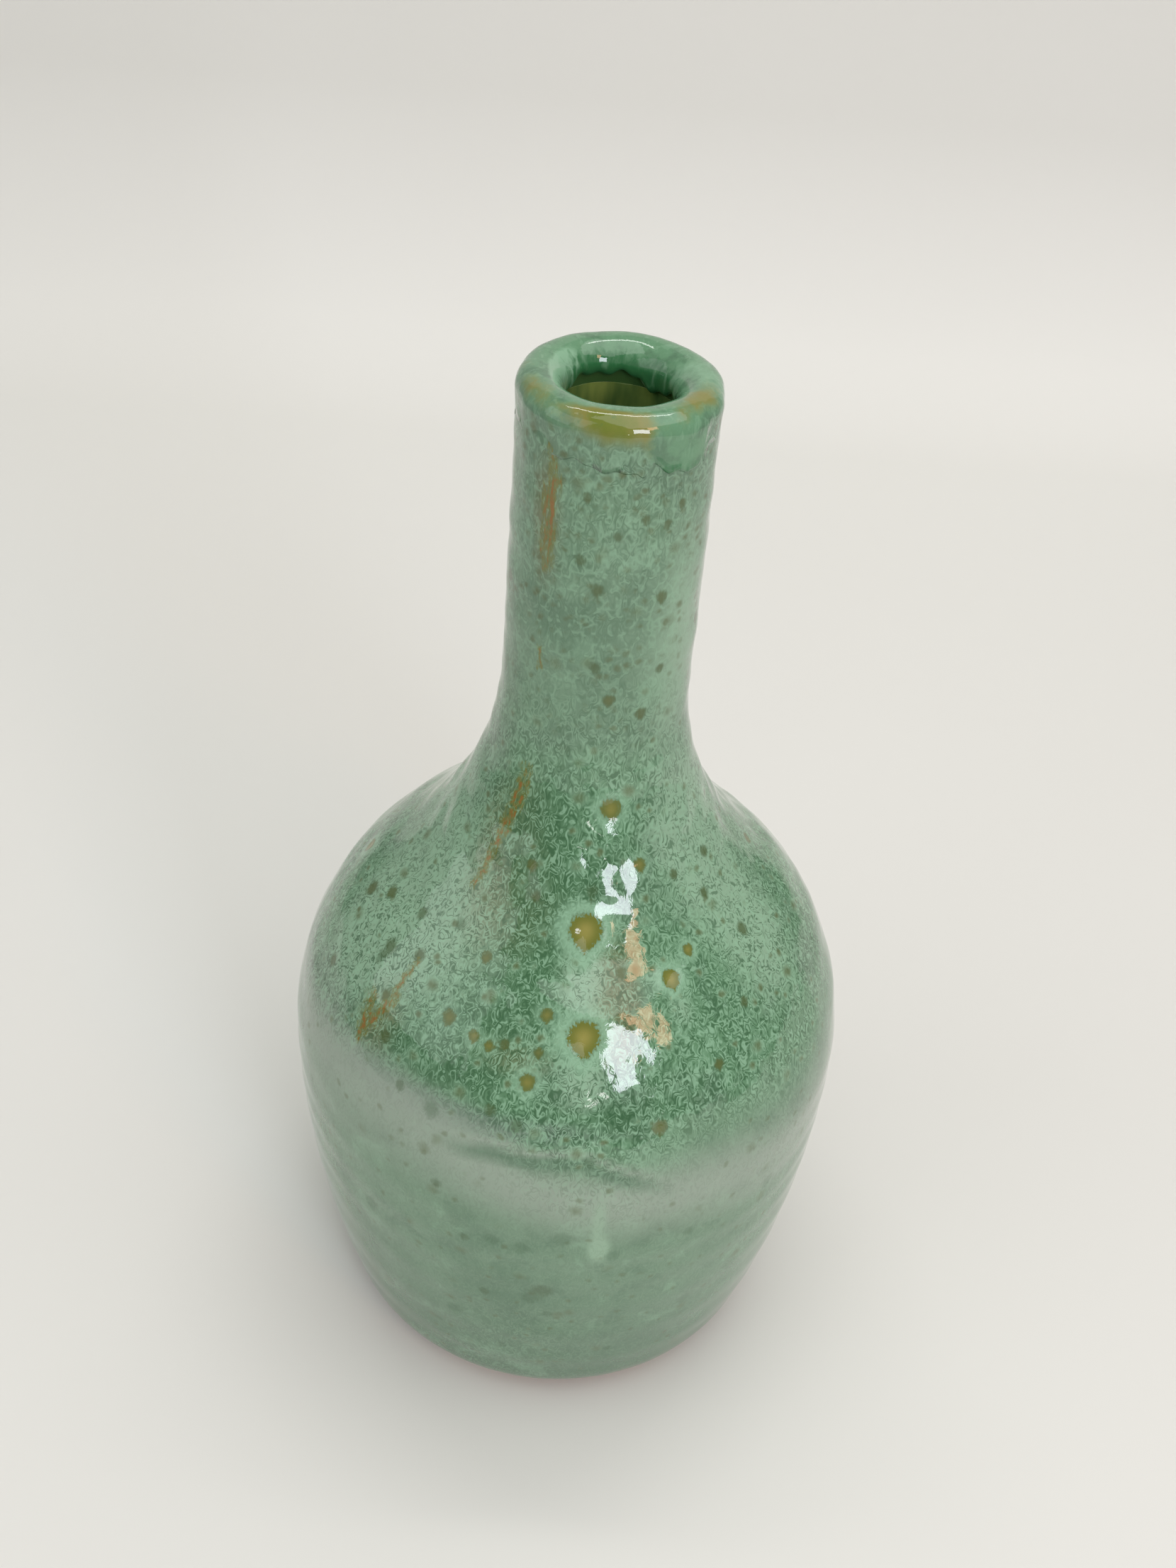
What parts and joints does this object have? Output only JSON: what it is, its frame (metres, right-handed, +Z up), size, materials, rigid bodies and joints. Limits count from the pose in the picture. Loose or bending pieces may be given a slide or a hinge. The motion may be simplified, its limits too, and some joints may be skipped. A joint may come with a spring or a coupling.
{
  "type": "sake bottle",
  "caption": "Sake bottle with a round belly, long neck and rolled mouth, stoneware under mottled green layered glaze.",
  "frame": {"origin": "centre of the foot ring, on the surface the bottle stands on", "axes": "+Z up along the bottle's axis, towards the mouth; -Y is the front"},
  "size_m": [0.085, 0.085, 0.165],
  "materials": {
    "stoneware": "bare fired clay, matte and slightly gritty",
    "liner_glaze": "glossy olive transparent glaze",
    "base_glaze": "glossy amber-olive first coat",
    "green_glaze": "glossy mottled mint and bottle green coat with small craters",
    "lip_glaze": "thick clear green coat, very glossy"
  },
  "bodies": {
    "root": {"belly": "stoneware", "neck": "stoneware", "liner_glaze": "liner_glaze", "base_glaze": "base_glaze", "green_glaze": "green_glaze", "lip_glaze": "lip_glaze"}
  },
  "joints": []
}
